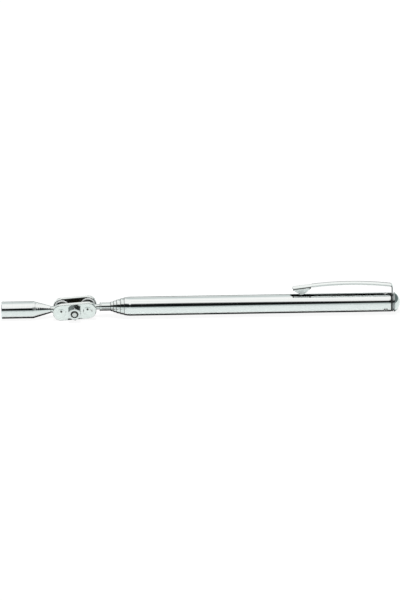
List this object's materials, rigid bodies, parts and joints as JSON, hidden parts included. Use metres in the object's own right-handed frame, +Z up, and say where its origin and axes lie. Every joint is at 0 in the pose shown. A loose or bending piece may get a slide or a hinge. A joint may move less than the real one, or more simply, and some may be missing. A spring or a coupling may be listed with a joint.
{
  "type": "magnetic pickup tool",
  "caption": "Telescoping magnetic pickup tool: nested chromed tubes, a friction swivel with two clamped balls, a round magnet head and a sprung pocket clip.",
  "frame": {"origin": "bottom centre of the closed tool's box, on the surface it lies on", "axes": "X along the tool from the magnet's face (-X) to the domed cap (+X), +Z up through the pocket clip, -Y towards the swivel's nut"},
  "size_m": [0.1832, 0.0144, 0.0152],
  "materials": {
    "chrome": "bright polished chrome plate",
    "tube_steel": "bright plated tube with fine drawn lines",
    "polished_steel": "polished steel",
    "plated_steel": "nickel-plated stamping, satin with small dents",
    "nut_steel": "bright plated nut",
    "screw_steel": "plated screw",
    "clip_steel": "bright plated spring strip",
    "dark_steel": "plain steel, darkened",
    "magnet_nickel": "nickel-plated magnet, ground face",
    "brass": "turned brass, slightly dulled"
  },
  "bodies": {
    "barrel": {"barrel_tube": "chrome", "end_plug": "brass", "clip_ring": "dark_steel", "end_cap": "chrome"},
    "clip": {"pocket_clip": "clip_steel"},
    "section_2": {"section_2_tube": "tube_steel", "section_2_friction_sleeve": "brass", "section_2_tail_plug": "brass"},
    "section_3": {"section_3_tube": "tube_steel", "section_3_friction_sleeve": "brass", "section_3_tail_plug": "brass"},
    "section_4": {"section_4_tube": "tube_steel", "section_4_friction_sleeve": "brass", "section_4_tail_plug": "brass"},
    "section_5": {"section_5_tube": "tube_steel", "section_5_friction_sleeve": "brass", "section_5_tail_plug": "brass"},
    "section_6": {"section_6_tube": "tube_steel", "section_6_friction_sleeve": "brass", "section_6_tail_plug": "brass"},
    "rod_stud": {"rod_ball_stud": "polished_steel"},
    "swivel_link": {"front_plate": "plated_steel", "rear_plate": "plated_steel", "clamp_screw": "screw_steel", "clamp_nut": "nut_steel", "spacer_sleeve": "brass"},
    "head_stud": {"head_ball_stud": "polished_steel"},
    "magnet_head": {"magnet_head_shell": "chrome", "magnet": "magnet_nickel", "backing_disc": "dark_steel"}
  },
  "joints": [
    {"name": "section_2_slide", "type": "slide", "parent": "barrel", "child": "section_2", "axis": [-1, 0, 0], "range_m": [0, 0.1045]},
    {"name": "section_3_slide", "type": "slide", "parent": "section_2", "child": "section_3", "axis": [-1, 0, 0], "range_m": [0, 0.1026]},
    {"name": "section_4_slide", "type": "slide", "parent": "section_3", "child": "section_4", "axis": [-1, 0, 0], "range_m": [0, 0.0999]},
    {"name": "section_5_slide", "type": "slide", "parent": "section_4", "child": "section_5", "axis": [-1, 0, 0], "range_m": [0, 0.0967]},
    {"name": "section_6_slide", "type": "slide", "parent": "section_5", "child": "section_6", "axis": [-1, 0, 0], "range_m": [0, 0.0936]},
    {"name": "rod_ball_roll", "type": "hinge", "parent": "section_6", "child": "rod_stud", "pos_m": [-0.05184, 0, 0.0049], "axis": [1, 0, 0], "continuous": true},
    {"name": "rod_ball_pitch", "type": "hinge", "parent": "rod_stud", "child": "swivel_link", "pos_m": [-0.05184, 0, 0.0049], "axis": [0, 1, 0], "range_deg": [-90, 90]},
    {"name": "head_ball_pitch", "type": "hinge", "parent": "swivel_link", "child": "head_stud", "pos_m": [-0.0639, 0, 0.00395], "axis": [0, 1, 0], "range_deg": [-90, 90]},
    {"name": "head_ball_roll", "type": "hinge", "parent": "head_stud", "child": "magnet_head", "pos_m": [-0.0639, 0, 0.00395], "axis": [1, 0, 0], "continuous": true},
    {"name": "clip_flex", "type": "hinge", "parent": "barrel", "child": "clip", "pos_m": [0.08802, 0, 0.00945], "axis": [0, 1, 0], "range_deg": [0, 4], "stiffness_Nm_per_rad": 2.5}
  ]
}
